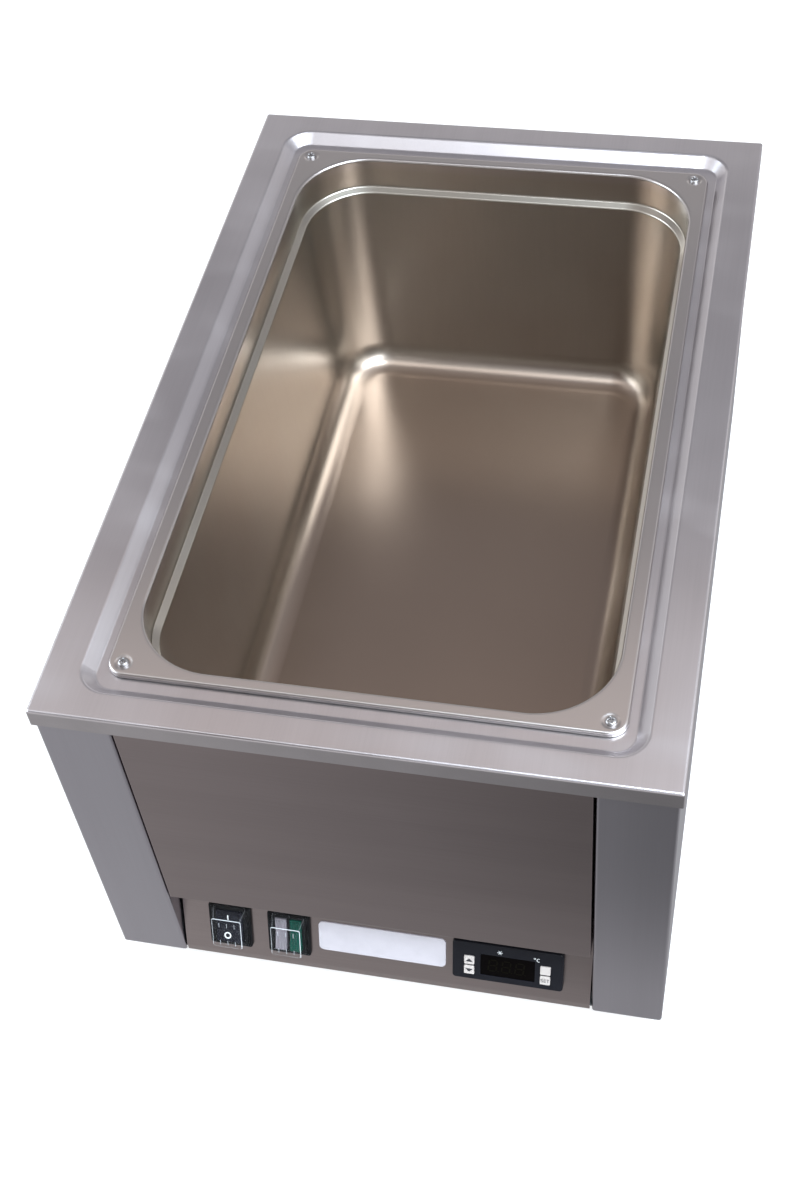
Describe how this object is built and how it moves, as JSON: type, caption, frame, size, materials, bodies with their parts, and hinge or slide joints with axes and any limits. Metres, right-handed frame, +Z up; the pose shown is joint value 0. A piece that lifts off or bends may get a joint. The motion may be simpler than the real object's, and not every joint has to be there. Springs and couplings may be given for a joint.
{
  "type": "paraffin bath",
  "caption": "Bench-top paraffin wax bath: a folded steel casing round a deep heated pan, with a sloping strip of rocker switches and a digital thermostat.",
  "frame": {"origin": "on the surface that the bath stands on, under the middle of the casing", "axes": "+X to the right as seen from the front, +Y to the rear along the pan, +Z up"},
  "size_m": [0.4, 0.6105, 0.31],
  "materials": {
    "brushed_casing": "fine horizontal brushing, satin",
    "satin_pan": "deep drawn, satin and nearly mirror bright",
    "bright_screws": "bright",
    "zinc_plate": "zinc plated",
    "silicone_gasket": "soft satin",
    "black_rubber": "matt rubber",
    "black_housing": "fine spark-eroded grain",
    "black_rocker": "gloss with white marks",
    "clear_rocker": "clear, ribbed",
    "green_rocker": "clear green, ribbed",
    "clear_hood": "clear flexible",
    "white_label": "satin white, blank",
    "dark_window": "smoked",
    "pale_keys": "satin, printed marks",
    "green_board": "lacquered circuit board",
    "display_grey": "moulded",
    "red_mat": "silicone heating mat",
    "aluminium_plate": "mill finish",
    "mineral_board": "pressed mineral wool",
    "brass_blades": "bright",
    "copper_tube": "drawn copper",
    "white_ceramic": "moulded",
    "black_wire": "sheathed wire",
    "red_wire": "heat-proof wire"
  },
  "bodies": {
    "casing": {"top_frame": "brushed_casing", "left_side_panel": "brushed_casing", "right_side_panel": "brushed_casing", "front_plate": "brushed_casing", "control_strip": "brushed_casing", "rear_panel": "brushed_casing", "pan": "satin_pan", "pan_screws": "bright_screws", "case_screws": "bright_screws", "inlet_screws": "bright_screws", "front_plate_rivets": "bright_screws", "pan_probe": "bright_screws", "base_plate": "zinc_plate", "pan_captive_nuts": "zinc_plate", "foot_studs": "zinc_plate", "foot_nuts": "zinc_plate", "clamp_bars": "zinc_plate", "clamp_nuts": "zinc_plate", "thermostat_bracket": "zinc_plate", "earth_stud": "zinc_plate", "probe_clips": "zinc_plate", "pan_gasket": "silicone_gasket", "feet": "black_rubber", "main_switch_housing": "black_housing", "twin_switch_housing": "black_housing", "controller_front": "black_housing", "controller_case": "black_housing", "controller_clips": "black_housing", "mains_inlet": "black_housing", "solid_state_relay": "black_housing", "main_switch_hood": "clear_hood", "twin_switch_hood": "clear_hood", "label_plate": "white_label", "controller_window": "dark_window", "controller_board": "green_board", "controller_terminals": "green_board", "display_module": "display_grey", "key_switches": "display_grey", "heating_mat": "red_mat", "heat_spreader": "aluminium_plate", "base_insulation": "mineral_board", "left_insulation": "mineral_board", "right_insulation": "mineral_board", "front_insulation": "mineral_board", "rear_insulation": "mineral_board", "switch_blades": "brass_blades", "inlet_pins": "brass_blades", "overheat_capillary": "copper_tube", "overheat_thermostat": "white_ceramic", "terminal_block": "white_ceramic", "mains_wiring": "black_wire", "control_wiring": "black_wire", "heater_leads": "red_wire"},
    "main_rocker_body": {"main_rocker": "black_rocker"},
    "clear_rocker_body": {"clear_rocker": "clear_rocker"},
    "green_rocker_body": {"green_rocker": "green_rocker"},
    "key_up_body": {"key_up": "pale_keys"},
    "key_down_body": {"key_down": "pale_keys"},
    "key_blank_body": {"key_blank": "pale_keys"},
    "key_set_body": {"key_set": "pale_keys"}
  },
  "joints": [
    {"name": "main_rocker_tip", "type": "hinge", "parent": "casing", "child": "main_rocker_body", "pos_m": [-0.112, -0.29045, 0.05001], "axis": [1, 0, 0], "range_deg": [0, 14]},
    {"name": "clear_rocker_tip", "type": "hinge", "parent": "casing", "child": "clear_rocker_body", "pos_m": [-0.07385, -0.29045, 0.05001], "axis": [1, 0, 0], "range_deg": [0, 14]},
    {"name": "green_rocker_tip", "type": "hinge", "parent": "casing", "child": "green_rocker_body", "pos_m": [-0.06315, -0.29045, 0.05001], "axis": [1, 0, 0], "range_deg": [0, 14]},
    {"name": "key_up_press", "type": "slide", "parent": "casing", "child": "key_up_body", "axis": [0, 0.9511, -0.309], "range_m": [0, 0.0008], "stiffness_N_per_m": 600},
    {"name": "key_down_press", "type": "slide", "parent": "casing", "child": "key_down_body", "axis": [0, 0.9511, -0.309], "range_m": [0, 0.0008], "stiffness_N_per_m": 600},
    {"name": "key_blank_press", "type": "slide", "parent": "casing", "child": "key_blank_body", "axis": [0, 0.9511, -0.309], "range_m": [0, 0.0008], "stiffness_N_per_m": 600},
    {"name": "key_set_press", "type": "slide", "parent": "casing", "child": "key_set_body", "axis": [0, 0.9511, -0.309], "range_m": [0, 0.0008], "stiffness_N_per_m": 600}
  ]
}
